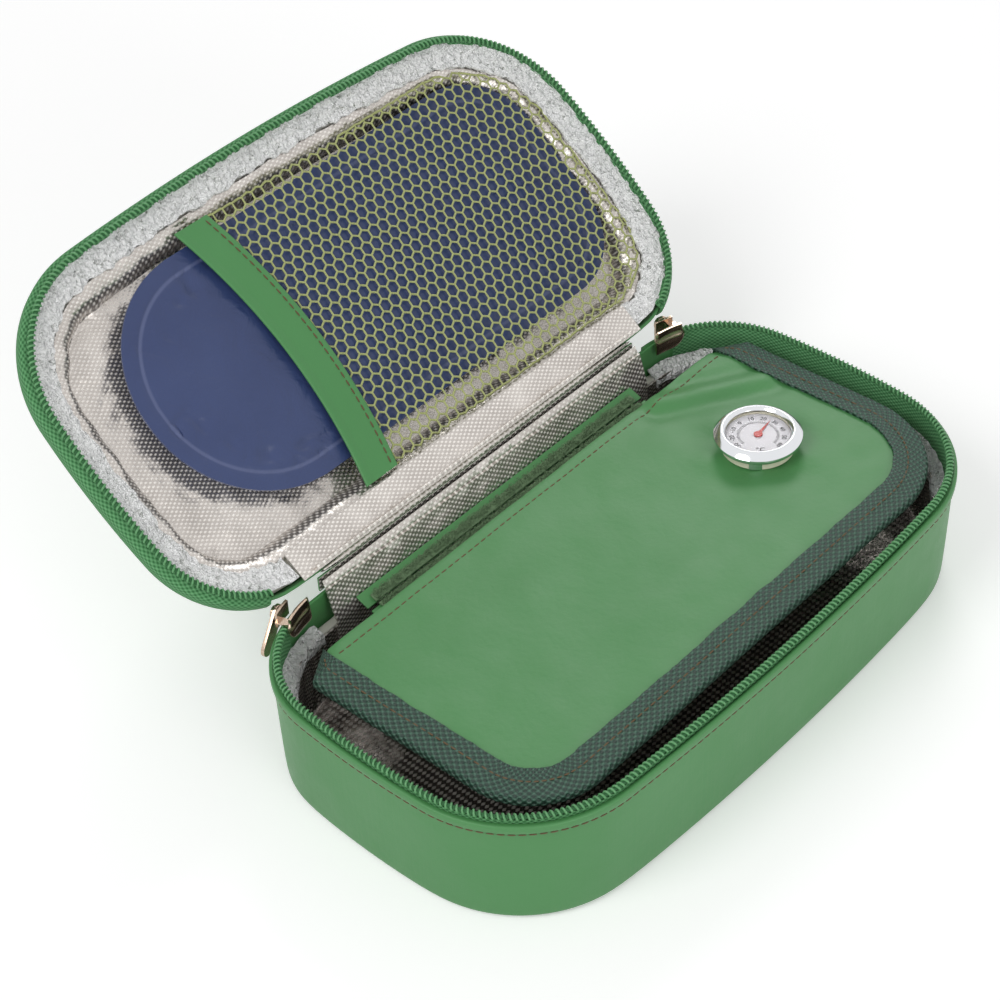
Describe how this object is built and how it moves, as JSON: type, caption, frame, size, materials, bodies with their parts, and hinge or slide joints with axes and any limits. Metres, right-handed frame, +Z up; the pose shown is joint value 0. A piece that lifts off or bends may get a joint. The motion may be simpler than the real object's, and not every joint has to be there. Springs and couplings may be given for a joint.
{
  "type": "insulated medicine cooling case",
  "caption": "Soft zip-round insulated case for insulin pens: hinged padded lid with a mesh pocket and gel pack, inner flap with dial thermometer.",
  "frame": {"origin": "middle of the case's length and width between the corners, on the floor", "axes": "+X along the long side towards the thermometer, +Y to the hinged rear, +Z up"},
  "size_m": [0.21, 0.2067, 0.1153],
  "materials": {
    "skin": "satin",
    "webbing": "matte",
    "zip_tape": "matte",
    "zip_coil": "satin",
    "silver_lining": "satin",
    "foil": "gloss",
    "foam": "matte",
    "board": "matte",
    "fastener_tape": "matte",
    "net": "matte",
    "gel_film": "satin",
    "bezel_chrome": "polished",
    "cream_plastic": "satin",
    "dial_face": "satin",
    "pointer_paint": "satin",
    "clear_lens": "gloss",
    "spring_strip": "satin",
    "spindle_steel": "satin",
    "slider_metal": "satin"
  },
  "bodies": {
    "base": {"base_shell": "skin", "base_board": "board", "base_foam": "foam", "base_lining": "silver_lining", "base_foil_binding": "foil", "base_zip_tape": "zip_tape", "base_zip_coil": "zip_coil", "hinge_panel": "skin", "hinge_roll": "skin", "hinge_lining": "silver_lining", "wall_tab": "skin", "wall_loop_tape": "fastener_tape"},
    "lid": {"lid_shell": "skin", "lid_board": "board", "lid_foam": "foam", "lid_lining": "silver_lining", "lid_foil_binding": "foil", "lid_zip_tape": "zip_tape", "lid_zip_coil": "zip_coil", "lid_hinge_lining": "silver_lining", "mesh_pocket": "net", "pocket_hem": "skin"},
    "gel_pack": {"gel_pack": "gel_film"},
    "flap": {"flap_lining": "silver_lining", "flap_foam": "foam", "flap_skin": "skin", "flap_webbing": "webbing", "flap_tab": "skin", "flap_loop_tape": "fastener_tape", "flap_hook_tape": "fastener_tape", "thermometer_housing": "cream_plastic", "thermometer_bezel": "bezel_chrome", "thermometer_dial": "dial_face", "thermometer_lens": "clear_lens", "thermometer_clip_ring": "cream_plastic", "thermometer_spring": "spring_strip"},
    "pointer": {"thermometer_spindle": "spindle_steel", "thermometer_pointer": "pointer_paint"},
    "slider_left": {"slider_left": "slider_metal"},
    "slider_right": {"slider_right": "slider_metal"},
    "pull_tab_left": {"pull_tab_left": "slider_metal"},
    "pull_tab_right": {"pull_tab_right": "slider_metal"}
  },
  "joints": [
    {"name": "lid_hinge", "type": "hinge", "parent": "base", "child": "lid", "pos_m": [0, 0.054, 0.0442], "axis": [-1, 0, 0], "range_deg": [-142.1, 11]},
    {"name": "gel_pack_slide", "type": "slide", "parent": "lid", "child": "gel_pack", "axis": [-1, 0, 0], "range_m": [0, 0.008]},
    {"name": "flap_hinge", "type": "hinge", "parent": "base", "child": "flap", "pos_m": [0, 0.0427, 0.0328], "axis": [-1, 0, 0], "range_deg": [0, 70]},
    {"name": "pointer_turn", "type": "hinge", "parent": "flap", "child": "pointer", "pos_m": [0.0577, -0.00133, 0.03794], "axis": [0, 0.0279, 0.9996], "range_deg": [-105, 165]},
    {"name": "slider_left_travel", "type": "hinge", "parent": "base", "child": "slider_left", "pos_m": [-0.07207, 0.0222, 0.04065], "axis": [0, 0, -1], "range_deg": [-60, 0]},
    {"name": "slider_right_travel", "type": "hinge", "parent": "base", "child": "slider_right", "pos_m": [0.07207, 0.0222, 0.04065], "axis": [0, 0, 1], "range_deg": [-60, 0]},
    {"name": "pull_tab_left_swing", "type": "hinge", "parent": "slider_left", "child": "pull_tab_left", "pos_m": [-0.0817, 0.05376, 0.04065], "axis": [0.2919, -0.9565, 0], "range_deg": [-45, 60]},
    {"name": "pull_tab_right_swing", "type": "hinge", "parent": "slider_right", "child": "pull_tab_right", "pos_m": [0.0817, 0.05376, 0.04065], "axis": [0.2919, 0.9565, 0], "range_deg": [-45, 60]}
  ]
}
